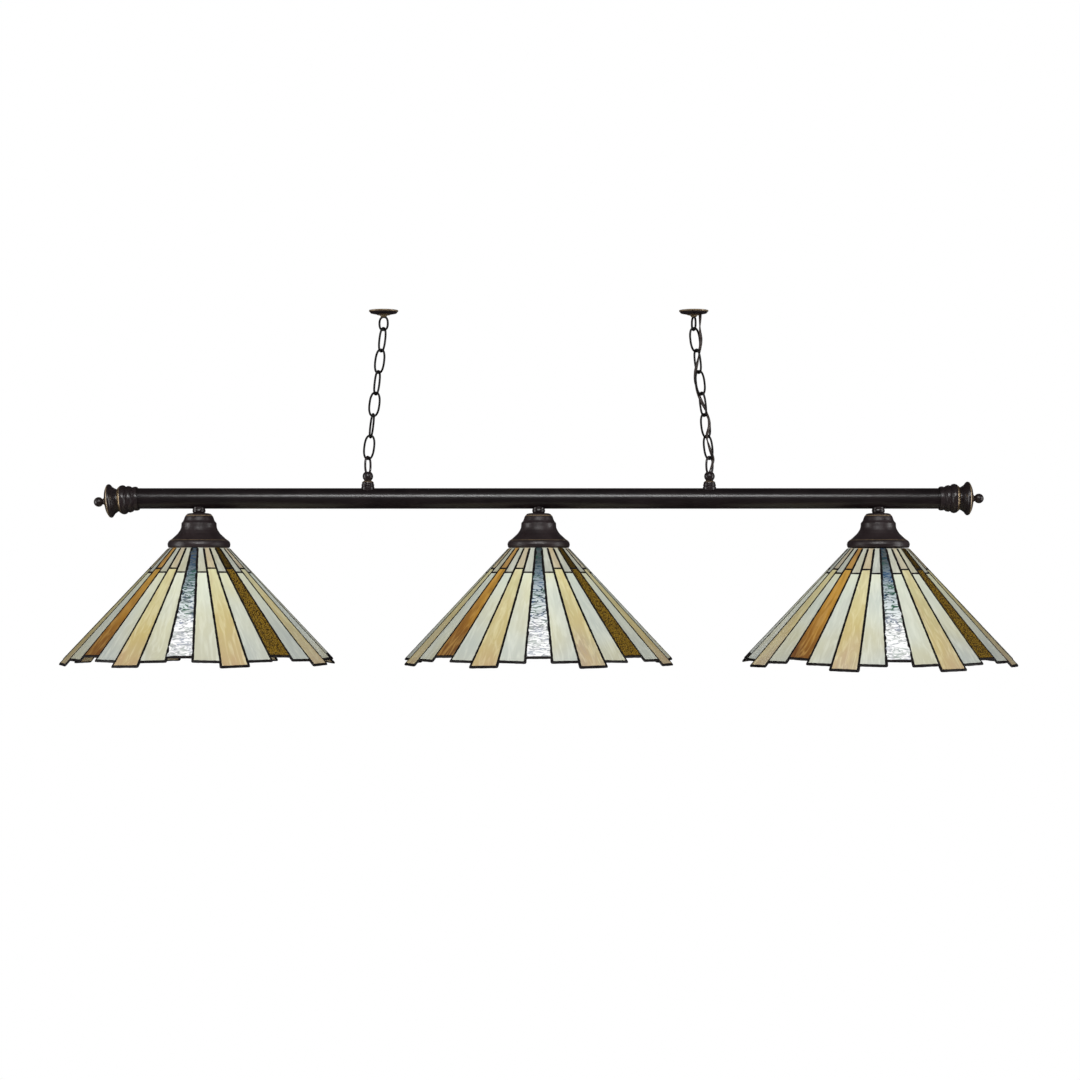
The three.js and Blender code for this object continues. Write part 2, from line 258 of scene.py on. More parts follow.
def bronze_finish(name, dark, light, roughness, grain=0.08, specular=0.45):
    """Near-black bronze, mottled brown, with dull gold showing where a ring or an edge is rubbed."""
    material = finish(name, dark, Specular_IOR_Level=specular)
    recipe = Recipe(material)
    place = recipe.place()
    mottle = recipe.cloud(place, 34, 5)
    body = recipe.ramp(mottle, (0.35, dark), (0.7, light))
    patches = recipe.ramp(recipe.cloud(place, 210, 4), (0.3, 0.8), (0.55, 1.0))
    rubbed = recipe.maths("MULTIPLY", recipe.attribute("wear"), patches)
    gold = recipe.ramp(recipe.cloud(place, 420, 3), (0.3, "#b3966e"), (0.75, "#e2caa4"))
    recipe.feed("Base Color", recipe.mix(rubbed, body, gold))
    recipe.feed("Metallic", rubbed)
    fine = recipe.cloud(place, 1500, 2)
    recipe.feed("Roughness", recipe.ramp(fine, (0.3, roughness - 0.03), (0.7, roughness + 0.03)))
    recipe.bump(recipe.cloud(place, 900, 3), 0.08 * MM, grain)
    return material


def metal_finish(name, dark, light, roughness):
    """Bare metal with faint blotches and fine scratches."""
    material = finish(name, dark, Metallic=1.0)
    recipe = Recipe(material)
    place = recipe.place()
    recipe.feed("Base Color", recipe.ramp(recipe.cloud(place, 160, 5), (0.35, dark), (0.7, light)))
    scratches = recipe.cloud(recipe.scaled(place, (1, 1, 14)), 700, 2)
    recipe.feed("Roughness", recipe.ramp(scratches, (0.3, roughness - 0.08), (0.7, roughness + 0.12)))
    return material


def plastic_finish(name, dark, light, roughness, **sockets):
    """Plastic or painted glass, a little mottled and uneven."""
    material = finish(name, dark, **sockets)
    recipe = Recipe(material)
    place = recipe.place()
    recipe.feed("Base Color", recipe.ramp(recipe.cloud(place, 90, 4), (0.35, dark), (0.7, light)))
    fine = recipe.cloud(place, 800, 2)
    recipe.feed("Roughness", recipe.ramp(fine, (0.3, roughness - 0.06), (0.7, roughness + 0.06)))
    recipe.bump(recipe.cloud(place, 1100, 3), 0.1 * MM, 0.4)
    return material


def opal_finish(name, upper, stops, veil, shadow, streak):
    """Streaky opalescent glass. The colour follows stops down the lower panes, and is upper in the upper
    ones. It leans a little to yellow or to blue from pane to pane. Wisps of veil and of shadow run along
    the panes, and streak is how strong they are."""
    material = finish(
        name,
        upper,
        Transmission_Weight=0.12,
        Roughness=0.32,
        Specular_IOR_Level=0.25,
        Coat_Weight=0.12,
        Coat_Roughness=0.2,
    )
    recipe = Recipe(material)
    pane = recipe.attribute("pane", "Vector")
    drift = recipe.stretched_cloud(pane, (30, 9, 1), 3, 0.6)
    wander = recipe.maths("MULTIPLY", recipe.maths("SUBTRACT", drift, 0.5), 0.8)
    lower = recipe.ramp(recipe.maths("ADD", recipe.attribute("along"), wander), *stops)
    body = recipe.mix(recipe.attribute("upper"), lower, tint(upper))
    lean = recipe.stretched_cloud(pane, (9, 7, 1), 1)
    cast = recipe.ramp(lean, (0.36, "#fff9e8"), (0.5, "#ffffff"), (0.64, "#f4f8ff"))
    body = recipe.mix(1.0, body, cast, "MULTIPLY")
    swirls = recipe.stretched_cloud(pane, (75, 16, 1), 4, 1.6)
    share = recipe.maths("MULTIPLY", recipe.ramp(swirls, (0.34, 1.0), (0.5, 0.0)), streak)
    body = recipe.mix(share, body, tint(shadow))
    wisps = recipe.stretched_cloud(pane, (150, 24, 1), 5, 1.4)
    share = recipe.maths("MULTIPLY", recipe.ramp(wisps, (0.46, 0.0), (0.66, 1.0)), streak)
    recipe.feed("Base Color", recipe.mix(share, body, tint(veil)))
    recipe.bump(recipe.stretched_cloud(pane, (70, 30, 1), 2), 0.6 * MM, 0.12)
    return material


def granite_finish(name):
    """Granular olive-amber glass: small raised grains that let some light through."""
    material = finish(name, "#6a4f10", Transmission_Weight=0.2, IOR=1.5, Roughness=0.25)
    recipe = Recipe(material)
    pane = recipe.attribute("pane", "Vector")
    cells = recipe.node("TexVoronoi", {"Vector": recipe.scaled(pane, (700, 500, 1)), "Scale": 1.0})
    grains = cells.outputs["Distance"]
    lower = recipe.ramp(grains, (0.05, "#c8a02c"), (0.4, "#806320"), (0.75, "#35270b"))
    upper = recipe.ramp(grains, (0.05, "#6b5418"), (0.5, "#4a3810"), (0.8, "#2c2208"))
    recipe.feed("Base Color", recipe.mix(recipe.attribute("upper"), lower, upper))
    recipe.bump(grains, 0.9 * MM, 0.5)
    return material


def clear_finish(name):
    """Rippled glass, partly milky. Its colour is painted shade and painted light standing for what would be
    seen
    through it: slate at the top of a pane and pale lower down, with dark lines of blue, teal and green
    painted across it where the ripples would bend shade into view."""
    material = finish(name, "#f4fbfa", Transmission_Weight=0.2, IOR=1.5, Roughness=0.05)
    recipe = Recipe(material)
    pane = recipe.attribute("pane", "Vector")
    stops = (
        (0.05, "#4f5659"),
        (0.14, "#5c6568"),
        (0.24, "#7b8b96"),
        (0.38, "#b9c5c9"),
        (0.55, "#e2e9ea"),
        (0.7, "#ffffff"),
    )
    # Painted shade at the top of a pane and painted light lower down, for what would be seen through the
    # glass
    painted_view_through = recipe.ramp(recipe.attribute("along"), *stops)
    hue = recipe.stretched_cloud(pane, (60, 45, 1), 2)
    shade_of_line = recipe.ramp(hue, (0.38, "#1b4570"), (0.5, "#10343c"), (0.62, "#1b563c"))
    ripples = recipe.stretched_cloud(pane, (62, 215, 1), 2, 0.9)
    # Painted shade: dark lines where the ripples would bend shade into view
    painted_ripple_shade = recipe.ramp(ripples, (0.43, 0.0), (0.47, 0.9), (0.5, 1.0), (0.53, 0.9), (0.57, 0.0))
    strength = recipe.ramp(recipe.attribute("along"), (0.0, 0.7), (0.35, 1.0), (0.55, 1.0), (0.8, 0.6))
    recipe.feed("Base Color", recipe.mix(recipe.maths("MULTIPLY", painted_ripple_shade, strength), painted_view_through, shade_of_line))
    return material


def solder_finish(name):
    """Blackened solder with a lumpy, half-dull skin."""
    material = finish(name, "#120e0f", Metallic=0.1, Specular_IOR_Level=0.25)
    recipe = Recipe(material)
    place = recipe.place()
    mottle = recipe.cloud(place, 120, 5)
    recipe.feed("Base Color", recipe.ramp(mottle, (0.35, "#0c090a"), (0.75, "#191415")))
    recipe.feed("Roughness", recipe.ramp(recipe.cloud(place, 500, 3), (0.3, 0.42), (0.7, 0.58)))
    recipe.bump(recipe.cloud(place, 260, 3), 0.5 * MM, 0.4)
    return material


MATERIALS = {
    "bronze": bronze_finish("bronze", "#171112", "#231c1d", 0.32),
    # Painted sheen: the bells take a lighter copy of the bronze
    "bronze_bell_painted_sheen": bronze_finish("bronze_bell_painted_sheen", "#1d1617", "#2b2324", 0.39),
    # Painted shade: the tube takes a darker copy of the bronze
    "bronze_tube_painted_shade": bronze_finish("bronze_tube_painted_shade", "#100b0c", "#171112", 0.3, grain=0.05, specular=0.55),
    # Painted shade: the chain takes a darker copy of the bronze
    "chain_bronze": bronze_finish("chain_bronze", "#080606", "#0e0b0b", 0.5, specular=0.25),
    "raw_steel": metal_finish("raw_steel", "#8d8c8a", "#b4b3b0", 0.32),
    "screw_brass": metal_finish("screw_brass", "#a57c3c", "#c79c55", 0.28),
    "phenolic": plastic_finish("phenolic", "#121010", "#1c1918", 0.5),
    "bulb_white": plastic_finish("bulb_white", "#f1eee6", "#f7f5ef", 0.3, Coat_Weight=0.6),
    "cord_brown": plastic_finish("cord_brown", "#1d1512", "#2f231d", 0.5),
    "glass_white": opal_finish(
        "glass_white",
        "#b7b8a9",
        # Painted shade: the white's lower panes darken towards the rim
        ((0.0, "#e3e8cf"), (0.5, "#ced2c1"), (1.0, "#bfc2b6")),
        "#eaede0",
        "#d0d2c3",
        0.3,
    ),
    "glass_amber": opal_finish(
        "glass_amber",
        "#b9ae97",
        ((0.0, "#dcdab0"), (0.35, "#cfc693"), (0.6, "#c5b783"), (0.85, "#c0b18a"), (1.0, "#bca686")),
        "#e8e2ba",
        "#c4b07f",
        0.42,
    ),
    "glass_brown": opal_finish(
        "glass_brown",
        "#b58e54",
        ((0.0, "#cfa64e"), (0.4, "#bb8b3a"), (0.7, "#976a30"), (1.0, "#704a2b")),
        "#d0a55c",
        "#744a22",
        0.5,
    ),
    "glass_olive": granite_finish("glass_olive"),
    "glass_clear": clear_finish("glass_clear"),
    "solder": solder_finish("solder"),
}

# ---------------------------------------------------------------- mesh helpers


class Shell:
    """Vertices, faces and named values at each vertex, gathered for one piece."""

    def __init__(self):
        self.points = []
        self.faces = []
        self.values = {}

    def add(self, points, faces, **values):
        first = len(self.points)
        self.points += [Vector(p) for p in points]
        self.faces += [[first + i for i in face] for face in faces]
        for key, numbers in values.items():
            self.values.setdefault(key, []).extend(numbers)

    def moved(self, move):
        """The same shell after it is moved by an offset or a matrix."""
        if isinstance(move, Vector):
            self.points = [p + move for p in self.points]
        else:
            self.points = [move @ p for p in self.points]
        return self


SHARP_EDGE = math.radians(38)


def piece(name, shell, look, body, nodes):
    """The shell as a smooth-shaded object in its look's material that rides on a body, if one is given, and
    stands for CAD nodes."""
    mesh = bpy.data.meshes.new(name)
    mesh.from_pydata([tuple(p) for p in shell.points], [], shell.faces)
    for key, numbers in shell.values.items():
        vector = hasattr(numbers[0], "__len__")
        attribute = mesh.attributes.new(key, "FLOAT_VECTOR" if vector else "FLOAT", "POINT")
        flat = np.array(numbers, np.float32).ravel()
        attribute.data.foreach_set("vector" if vector else "value", flat)
    mesh.shade_smooth()
    mesh.set_sharp_from_angle(angle=SHARP_EDGE)
    mesh.materials.append(MATERIALS[look])
    made = bpy.data.objects.new(name, mesh)
    bpy.context.scene.collection.objects.link(made)
    if body:
        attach(made, body)
    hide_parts(*nodes)
    return made


FILLET_STEPS = 5
PLAIN_CORNER = (0.4, 0)  # fillet and wear of a corner that doesn't give them


def rounded(outline, closed):
    """An outline of corners (radius, z, fillet, wear) in millimetres, with each corner turned into a short
    curve. Fillet and wear may be left out. Gives points of (radius, z, wear)."""
    made = []
    for i, corner in enumerate(outline):
        here = np.array(corner[:2], float)
        fillet, wear = (*corner[2:], *PLAIN_CORNER[len(corner) - 2 :])
        if not closed and i in (0, len(outline) - 1):
            made.append((*here, wear))
            continue
        back = np.array(outline[i - 1][:2]) - here
        ahead = np.array(outline[(i + 1) % len(outline)][:2]) - here
        back_length, ahead_length = np.linalg.norm(back), np.linalg.norm(ahead)
        half = math.acos(np.clip(back @ ahead / back_length / ahead_length, -1, 1)) / 2
        room = 0.49 * min(back_length, ahead_length)  # so that two fillets on one edge stay apart
        steepness = max(math.tan(half), 0.001)  # never zero, not even at a spike
        reach = min(fillet / steepness, room)
        start = here + back / back_length * reach
        end = here + ahead / ahead_length * reach
        for s in np.linspace(0, 1, FILLET_STEPS):
            point = (1 - s) ** 2 * start + 2 * s * (1 - s) * here + s * s * end
            made.append((*point, wear))
    return made


def arc(centre_r, centre_z, radius, start, end, steps):
    """Points of an outline along an arc, its angles in degrees from the outward direction."""
    angles = np.radians(np.linspace(start, end, steps))
    return [(centre_r + radius * math.cos(a), centre_z + radius * math.sin(a)) for a in angles]


def turned(outline, closed=True, segments=64):
    """A turned shell about Z from its outline in millimetres. An outline that isn't closed starts and ends
    on the axis."""
    points = rounded(outline, closed)
    area = sum(a[0] * b[1] - b[0] * a[1] for a, b in zip(points, points[1:] + points[:1]))
    if area < 0:
        points.reverse()
    rings = points if closed else points[1:-1]
    verts, wear = [], []
    for radius, z, worn in rings:
        for j in range(segments):
            angle = 2 * math.pi * j / segments
            verts.append((radius * math.cos(angle) * MM, radius * math.sin(angle) * MM, z * MM))
            wear.append(worn)
    faces = []
    count = len(rings)
    for i in range(count if closed else count - 1):
        for j in range(segments):
            beside, here, next_ring = (j + 1) % segments, i * segments, (i + 1) % count * segments
            faces.append((here + j, here + beside, next_ring + beside, next_ring + j))
    if not closed:
        for end, base in ((points[0], 0), (points[-1], (count - 1) * segments)):
            verts.append((0, 0, end[1] * MM))
            wear.append(end[2])
            for j in range(segments):
                face = (base + j, base + (j + 1) % segments, len(verts) - 1)
                faces.append(face if base else face[::-1])
    shell = Shell()
    shell.add(verts, faces, wear=wear)
    return shell


def tube_along(path, sections, normals):
    """Vertices and faces of a shell swept along path, with closed ends. sections[i] lists the offsets at
    point i, each as how far along the normal and how far along the binormal."""
    verts, faces = [], []
    sides = len(sections[0])
    for i, (point, section, normal) in enumerate(zip(path, sections, normals)):
        ahead = (path[min(i + 1, len(path) - 1)] - path[max(i - 1, 0)]).normalized()
        side = (normal - ahead * normal.dot(ahead)).normalized()
        other = ahead.cross(side)
        verts += [point + side * a + other * b for a, b in section]
    for i in range(len(path) - 1):
        for j in range(sides):
            beside, here, after = (j + 1) % sides, i * sides, (i + 1) * sides
            faces.append((here + j, here + beside, after + beside, after + j))
    faces.append(tuple(range(sides))[::-1])
    faces.append(tuple(range((len(path) - 1) * sides, len(path) * sides)))
    return verts, faces


def ellipse(a, b, sides=12):
    angles = [2 * math.pi * j / sides for j in range(sides)]
    return [(a * math.cos(angle), b * math.sin(angle)) for angle in angles]


OVAL_POWER = 2.4  # of the superellipse that links, loops and eyes follow
OVAL_STEPS, WIRE_SIDES = 72, 16
HALF_SLIT = 0.0012  # half the slit where a wire's two ends meet, in radians round the oval


def squared_off(value):
    """A sine or cosine as it is along the superellipse."""
    return math.copysign(abs(value) ** (2 / OVAL_POWER), value)


def add_bent_wire(shell, centre, long_way, wide_way, half_long, half_wide, wire):
    """Round wire bent into an oval, with the fine slit where its two ends meet on one side. wire is its
    radius, and the half lengths are those of its middle line."""
    across = long_way.cross(wide_way).normalized()
    path = []
    for i in range(OVAL_STEPS + 1):
        t = HALF_SLIT + (2 * math.pi - 2 * HALF_SLIT) * i / OVAL_STEPS
        wide = squared_off(math.cos(t)) * half_wide
        long = squared_off(math.sin(t)) * half_long
        path.append(centre + wide_way * wide + long_way * long)
    verts, faces = tube_along(path, [ellipse(wire, wire, WIRE_SIDES)] * len(path), [across] * len(path))
    shell.add(verts, faces, wear=[0.0] * len(verts))


def oval_of(points):
    """The middle of an oval's vertices, its long and wide directions, and how far it reaches along each."""
    centre = (points.max(0) + points.min(0)) / 2
    _, _, ways = np.linalg.svd(points - points.mean(0), full_matrices=False)
    reach = [np.abs((points - centre) @ way).max() for way in ways]
    return Vector(centre), Vector(ways[0]), Vector(ways[1]), reach[0], reach[1]


# ---------------------------------------------------------------- supply cord

# The cord's way down the right chain in metres: its height, then how far it lies from the chain's middle
# in X and in Y
CORD_ROUTE = [
    (-0.001, 0.0095, -0.0025),
    (-0.012, 0.0095, -0.0025),
    (-0.028, 0.0092, -0.002),
    (-0.044, 0.0088, -0.0014),
    (-0.0603, 0.005, -0.0018),
    (-0.0765, 0, 0),
    (-0.0927, -0.0052, 0.0016),
    (-0.109, -0.0076, 0.0006),
    (-0.1251, -0.0052, 0.0016),
    (-0.1413, 0, 0),
    (-0.1575, 0.0052, -0.0016),
    (-0.1737, 0.0055, -0.0022),
    (-0.1899, -0.0005, -0.0043),
    (-0.206, 0.0018, 0),
    (-0.2222, 0.0052, 0.0009),
    (-0.231, 0.0044, 0.0006),
    (-0.239, 0.0014, 0.0001),
    (-0.246, 0, 0),
    (-0.262, 0, 0),
    (-0.28, 0, 0),
]
CORD_STEPS = 10  # between two points of the route


def cord_line():
    """The cord's middle line: a Catmull-Rom spline through the route's points."""
    head, foot = JOINT_AT["right_chain_at_eye"], JOINT_AT["bar_on_chain"]
    points = []
    for z, dx, dy in CORD_ROUTE:
        share = min(max((z - foot.z) / (head.z - foot.z), 0), 1)
        points.append(Vector((foot.x + (head.x - foot.x) * share + dx, dy, z)))
    line = []
    for i in range(len(points) - 1):
        before, start = points[max(i - 1, 0)], points[i]
        end, after = points[i + 1], points[min(i + 2, len(points) - 1)]
        for step in range(CORD_STEPS):
            s = step / CORD_STEPS
            line.append(
                0.5
                * (
                    2 * start
                    + (end - before) * s
                    + (2 * before - 5 * start + 4 * end - after) * s**2
                    + (3 * start - before - 3 * end + after) * s**3
                )
            )
    return line + [points[-1]]


def supply_cord():
    """Flat two-core cord with a slow twist, cut into a piece for each joint of the right chain."""
    core, offset = 1.3 * MM, 1.1 * MM  # radius of a core, and how far it lies from the middle
    twist = 70  # in radians a metre
    slack, overlap = 0.1 * MM, 2 * MM  # how far a piece reaches past its cuts, at its top and at its bottom
    line = cord_line()
    section = []
    for a, b in ellipse(1, 1, 20):
        apart = math.copysign(offset, a) * min(1, abs(a) * 3)
        waist = 0.8 + 0.2 * abs(a)
        section.append((a * core + apart, b * core * waist))
    chain = ["ceiling", *(f"link_right_{k}" for k in range(LINKS, 0, -1)), "bar"]
    between_links = [f"right_link_{k + 1}_to_{k}" for k in range(LINKS - 1, 0, -1)]
    pivots = [JOINT_AT[name] for name in ("right_chain_at_eye", *between_links, "bar_on_chain")]
    pitch = (pivots[0].z - pivots[-1].z) / LINKS
    cuts = [line[0].z] + [pivot.z - pitch / 2 for pivot in pivots[:-1]] + [line[-1].z]
    travelled = [0]
    for a, b in zip(line, line[1:]):
        travelled.append(travelled[-1] + (b - a).length)
    for k, (upper, lower) in enumerate(zip(chain, chain[1:])):
        inside = [i for i, p in enumerate(line) if cuts[k] + slack >= p.z >= cuts[k + 1] - overlap]
        part = [line[i] for i in inside]
        sections, normals = [], []
        for i in inside:
            turn = travelled[i] * twist
            c, s = math.cos(turn), math.sin(turn)
            sections.append([(a * c - b * s, a * s + b * c) for a, b in section])
            normals.append(Vector((1, 0, 0)))
        shell = Shell()
        shell.add(*tube_along(part, sections, normals))
        made = piece(f"supply_cord_{k + 1}", shell, "cord_brown", None, ["supply_cord"])
        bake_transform(made)


# ---------------------------------------------------------------- chains, loops and ceiling plates


# Radius of the wire of the links, the loops on the tube and the screw eyes
LINK_WIRE, LOOP_WIRE, EYE_WIRE = 1.6 * MM, 1.7 * MM, 1.6 * MM


def chain_links():
    for side in SIDES:
        for k in range(1, LINKS + 1):
            node = f"chain_link_{side}_{k}"
            centre, long_way, wide_way, half_long, half_wide = oval_of(vertices_of(node))
            half_long, half_wide = half_long - LINK_WIRE, half_wide - LINK_WIRE
            shell = Shell()
            add_bent_wire(shell, centre, long_way, wide_way, half_long, half_wide, LINK_WIRE)
            piece(node + "_wire", shell, "chain_bronze", f"link_{side}_{k}", [node])


def add_upright_oval(shell, x, low, high, wire, corners):
    """An upright oval whose wire's middle line runs between two heights. It is turned and as wide as the
    CAD oval that the corners belong to."""
    _, _, wide_way, _, half_wide = oval_of(corners)
    wide_way = (wide_way - UP * wide_way.z).normalized()
    centre = Vector((x, 0, (low + high) / 2))
    add_bent_wire(shell, centre, UP, wide_way, (high - low) / 2, half_wide - wire, wire)


def seated_on_tube(shell, sign):
    """Lifts what would lie inside the tube to the tube's surface. sign is 1 above the tube and -1 below."""
    for point in shell.points:
        inside = BAR_RADIUS**2 - point.y**2
        if inside > 0 and abs(point.z) < math.sqrt(inside):
            point.z = sign * math.sqrt(inside)
    return shell


LOOP_BASE = [
    (0, 12),
    (9.9, 12),
    (9.9, 17.4, 0.6),
    (9, 18.2, 0.3),
    (9.7, 19.4, 0.6),
    (9.6, 21, 0.5),
    (8.7, 21.8, 0.3),
    (9, 23, 0.6),
    (8.6, 24.4, 0.3),
    (8, 25.1, 0.2, 1),
    (7, 25.8, 0.2, 1),
    (6.2, 26.2, 0.2),
    (5.6, 26.9, 0.4),
    *arc(0, 33.3, 8, -50, 52, 12),
    (3.4, 40.2, 0.6),
    (0, 40.4),
]


# Heights over the tube's axis: where the loop leaves its ball, and where its wire turns inside the ball
BALL_TOP, LOOP_FOOT = 40.5 * MM, 37 * MM


def hang_loops():
    for side in SIDES:
        node = "hang_loop_" + side
        base_x = middle("loop_nut_" + side).x
        shell = seated_on_tube(turned(LOOP_BASE, closed=False), 1).moved(Vector((base_x, 0, BAR_Z)))
        corners = vertices_of(node)
        corners = corners[corners[:, 2] > BAR_Z + BALL_TOP]
        _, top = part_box(node)
        add_upright_oval(shell, base_x, BAR_Z + LOOP_FOOT, top.z - LOOP_WIRE, LOOP_WIRE, corners)
        piece("loop_and_ball_" + side, shell, "bronze", "bar", [node])


def cut(target, cutters):
    """Cuts the cutters out of target's mesh for good."""
    for cutter in cutters:
        modifier = target.modifiers.new("cut", "BOOLEAN")
        modifier.object = cutter
        modifier.solver = "EXACT"
    graph = bpy.context.evaluated_depsgraph_get()
    evaluated = target.evaluated_get(graph)
    mesh = bpy.data.meshes.new_from_object(evaluated, preserve_all_data_layers=True, depsgraph=graph)
    target.modifiers.clear()
    target.data = mesh
    for cutter in cutters:
        bpy.data.objects.remove(cutter)


def drill(x, y, radius, low, high):
    """A cutter for an upright round hole between two heights."""
    centre = (x, y, (low + high) / 2)
    bpy.ops.mesh.primitive_cylinder_add(vertices=32, radius=radius, depth=high - low, location=centre)
    return bpy.context.object


PLATE = [
    (0, 0),
    (22, 0, 0.3),
    (22, -1.6, 0.5, 0.5),
    (21, -2.4, 0.5),
    (19.6, -4.4, 1.5),
    (10.5, -6.2, 1.2),
    (9.6, -7, 0.4, 0.7),
    (8.6, -7),
    (0, -7),
]
EYE_SHANK = [
    (0, -2.6),
    (3, -2.6),
    (3, -7.3, 0.2),
    (5, -7.4, 0.3),
    (5.2, -8.6, 0.6, 0.4),
    (2.8, -10.8, 0.8),
    (0, -11.2),
]
# Holes in a ceiling plate in millimetres: place in X and Y, radius, lowest and highest point
EYE_HOLE = (0, 0, 3.3, -8, -2.2)
SCREW_HOLES = [(0, 15, 2.1, -8, 1), (0, -15, 2.1, -8, 1)]
CORD_HOLE = (9.5, -2.5, 2.9, -8, 1)
# Heights where an eye leaves its shank, and where its wire turns inside the shank
SHANK_END, EYE_TOP = -11.2 * MM, -10 * MM


def ceiling_fittings():
    for side in SIDES:
        node = "ceiling_plate_" + side
        at = Vector((middle(node).x, 0, 0))
        plate = piece(node + "_disc", turned(PLATE, closed=False).moved(at), "bronze", "ceiling", [node])
        holes = [EYE_HOLE, *SCREW_HOLES]
        if side == "right":
            holes.append(CORD_HOLE)
        cutters = []
        for x, y, radius, low, high in holes:
            cutters.append(drill(at.x + x * MM, y * MM, radius * MM, low * MM, high * MM))
        cut(plate, cutters)
        eye = "ceiling_eye_" + side
        corners = vertices_of(eye)
        corners = corners[corners[:, 2] < SHANK_END]
        lowest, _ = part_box(eye)
        shell = turned(EYE_SHANK, closed=False, segments=32).moved(at)
        add_upright_oval(shell, at.x, lowest.z + EYE_WIRE, EYE_TOP, EYE_WIRE, corners)
        piece(eye + "_wire", shell, "chain_bronze", "ceiling", [eye])


# ---------------------------------------------------------------- tube and end caps


def bar_tube():
    """The tube, turned upright in millimetres and then laid along X."""
    half = (BAR_HIGH.x - BAR_LOW.x) / 2 / MM
    outer = BAR_RADIUS / MM
    inner = outer - 1.5
    outline = [(inner, -half), (outer, -half), (outer, half), (inner, half)]
    shell = turned(outline, segments=96)
    for point in shell.points:
        point.x, point.z = point.z, -point.x
    shell.moved(Vector(((BAR_LOW.x + BAR_HIGH.x) / 2, 0, BAR_Z)))
    piece("bar_tube_skin", shell, "bronze_tube_painted_shade", "bar", ["bar_tube"])


# The outlines of the end pieces run outwards along their axis from where the tube disappears
COLLAR = [
    (17, 0.3, 0.2),
    (17.4, 0.5, 0.3),
    (18.2, 3, 1.8),
    (18, 6.2, 1.5),
    (17.3, 8, 0.8),
    (19.3, 10.6, 1.2),
    (20.2, 14, 2),
    (19.2, 17.2, 0.8),
    (21.4, 19.7, 1.2),
    (22.2, 22.6, 1.6),
    (21.5, 25.6, 0.8),
    (21.2, 26.3, 0.3),
    (20.9, 26.8, 0.2, 1),
    (18.7, 29.5, 0.2, 1),
    (18.2, 29.9, 0.2),
    (17.8, 30, 0.3),
    (3, 30),
    (3, 25),
    (17, 25),
]
CUP = [
    (3, 30.3),
    (16.8, 30.3, 0.3),
    (17.1, 32.2, 0.8),
    (18.8, 35.2, 3),
    (20.9, 38.1, 1),
    (23.5, 39.9, 0.8),
    (25.2, 41.6, 0.8),
    (25.4, 43.6, 1),
    (24.5, 45.4, 0.8, 0.4),
    (22.4, 46.8, 0.8),
    (18.6, 48.6, 1.5),
    (16.8, 49.2, 0.5, 1),
    (9.6, 50.9, 0.6, 1),
    (6.6, 51.5, 0.5),
    (3, 51.6),
]
BALL = [
    (0, 27),
    (2.5, 27),
    (2.5, 51.8, 0.2),
    (5.2, 51.9, 0.3),
    (5.3, 52.5, 0.3),
    (4.2, 53.3, 0.4),
    *arc(0, 60.3, 7.3, -56, 80, 16),
    (0, 67.6),
]
END_PIECES = {"end_collar": (COLLAR, True), "end_cup": (CUP, True), "end_ball": (BALL, False)}


def end_caps():
    """Collar, cup and ball at each end, on an axis that leans as the CAD end piece does."""
    for side, direction in SIDES.items():
        tube_end = BAR_HIGH.x if direction > 0 else BAR_LOW.x
        start = Vector((tube_end - direction * TUBE_IN_COLLAR, 0, BAR_Z))
        ball_middle = Vector(vertices_of("end_ball_" + side).mean(0))
        outwards = (ball_middle - start).normalized()
        lean = outwards.to_track_quat("Z", "Y")
        for kind, (outline, closed) in END_PIECES.items():
            node = f"{kind}_{side}"
            shell = turned(outline, closed, 80)
            shell.points = [start + lean @ point for point in shell.points]
            piece(node + "_turned", shell, "bronze", "bar", [node])


# ---------------------------------------------------------------- lights

NECK = [
    (5.2, -23.2),
    (8.4, -23.2, 0.4),
    (8.7, -21.6, 0.6),
    (9.6, -20.1, 0.8),
    (9.8, -18.2, 0.9),
    (9.3, -16.4, 0.8),
    (9.3, -12),
    (5.2, -12),
]
BELL = [
    (5.2, -22.6),
    (9.6, -21.9, 0.5),
    (14.6, -22.3, 3),
    (17.6, -23.2, 1.6),
    (19.2, -24.9, 0.5),
    (19.8, -25.7, 0.3, 0.8),
    (20.6, -26.5, 0.5),
    (21.4, -28.2, 0.8),
    (22.9, -32.6, 4),
    (23.9, -34.4, 0.8),
    (26.2, -37, 2.2),
    (26.4, -41.2, 2),
    (26.7, -44, 1.6),
    (28.1, -47.4, 3),
    (31.6, -52.8, 8),
    (39.5, -60.2, 6),
    (42.4, -62.4, 0.4),
    (43.1, -62.7, 0.3, 0.8),
    (43.8, -63.2, 0.4),
    (45.9, -65.4, 1.8),
    (47, -69, 2.4),
    (46.3, -72.6, 1.8),
    (45.2, -74.2, 0.8),
    (44, -74.2, 0.4),
    (43.2, -67.6, 1.5),
    (34, -58.8, 6),
    (26.2, -47.6, 6),
    (24, -40, 4),
    (17.8, -25.5, 1),
    (5.2, -25.4),
]
SHADE_CAP = [
    (5.4, -62.1),
    (12, -62.1, 1),
    (35, -71.6, 2),
    (39, -73.4, 0.8),
    (39, -74.3),
    (42.2, -74.3, 0.3),
    (42.2, -72.2, 0.5),
    (36, -69.8, 1.5),
    (12, -60.6, 1.5),
    (5.4, -60.6),
]
SOCKET = [
    (0, -88),
    (14.8, -88),
    (14.8, -117),
    (16.9, -117, 0.6),
    (17, -99, 0.3),
    (16.2, -98.2, 0.3),
    (16.2, -96.4, 0.3),
    (17, -95.6, 0.3),
    (17, -75, 2),
    (12.4, -67.2, 1.5),
    (5.2, -67.2),
    (5.2, -78),
    (0, -78),
]
THREAD_PITCH, THREAD_FILLET = 3.6, 0.1
THREAD_STEPS = 8  # for each crest


